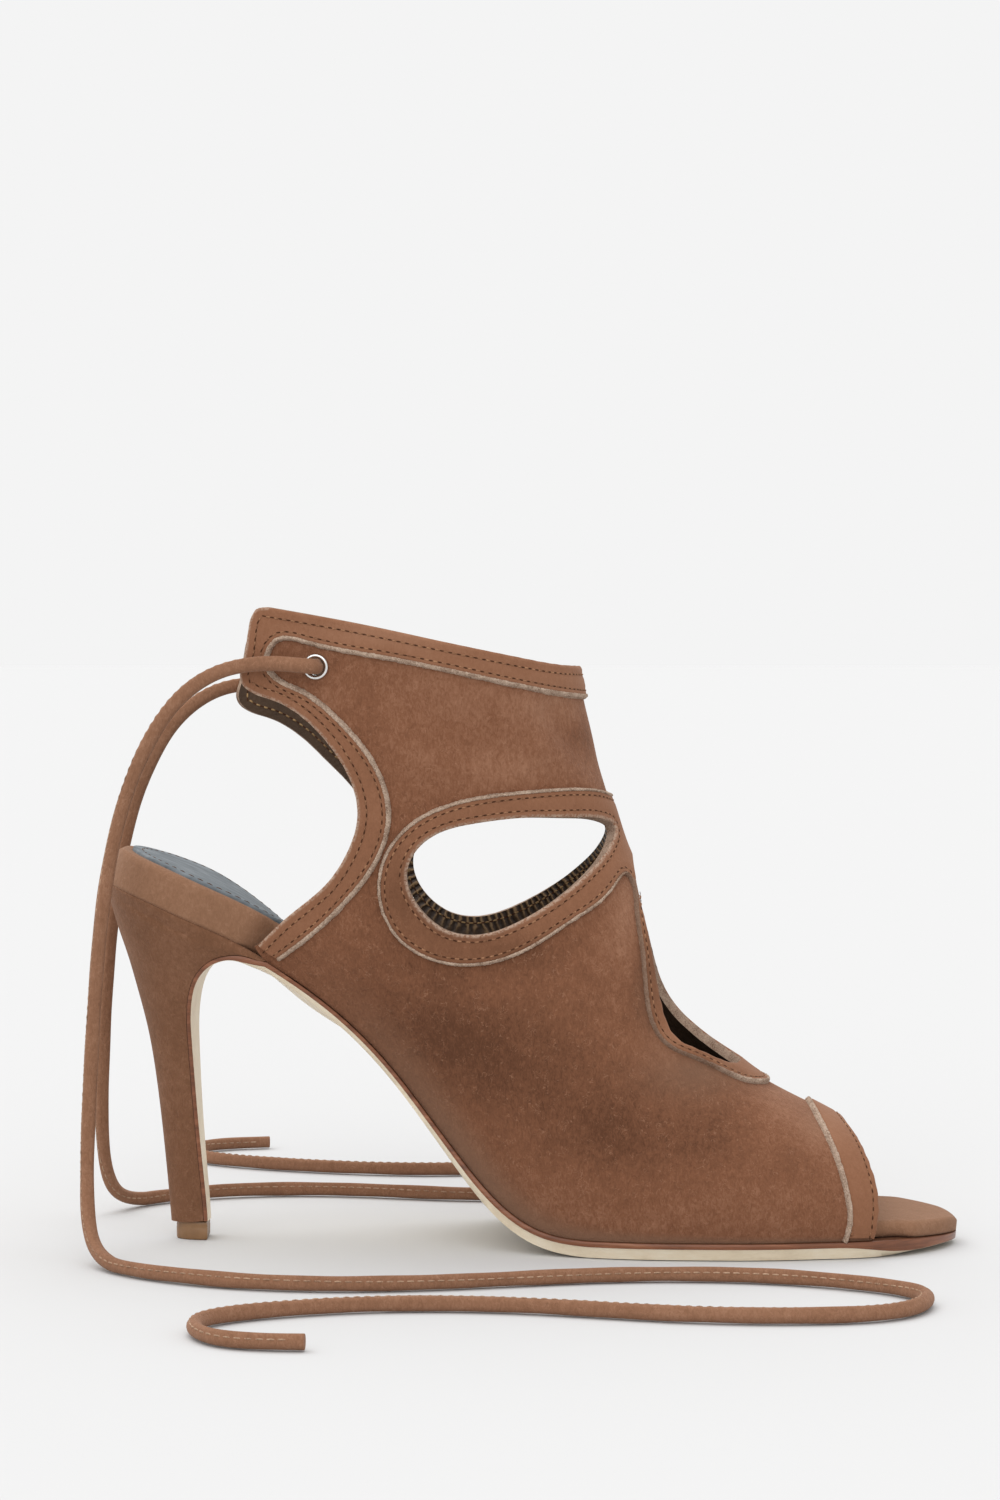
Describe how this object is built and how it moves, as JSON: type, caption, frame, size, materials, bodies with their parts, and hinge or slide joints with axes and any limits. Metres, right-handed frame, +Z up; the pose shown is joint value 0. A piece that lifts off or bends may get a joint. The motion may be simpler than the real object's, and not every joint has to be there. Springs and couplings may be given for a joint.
{
  "type": "heeled shoe",
  "caption": "High-heeled suede sandal boot with an open toe and back, cut-out sides and throat, and loose ankle ties.",
  "frame": {"origin": "middle of the shoe's box on the floor, ties left out", "axes": "+X towards the toe, +Y to the wearer's left (outer side), +Z up"},
  "size_m": [0.2245, 0.3138, 0.1618],
  "materials": {
    "suede": "napped suede",
    "trim": "smooth suede, raw edge",
    "cord": "rolled suede cord",
    "sole": "sole leather, dressed edge",
    "sock": "smooth lining leather",
    "tip": "matte",
    "metal": "polished"
  },
  "bodies": {
    "root": {"outsole": "sole", "heel": "suede", "heel_tip": "tip", "footbed": "suede", "insole_sock": "sock", "upper": "suede", "trim_toe": "trim", "trim_instep": "trim", "trim_collar": "trim", "eyelet_inner": "metal", "eyelet_outer": "metal", "tie_inner": "cord", "tie_outer": "cord"}
  },
  "joints": []
}
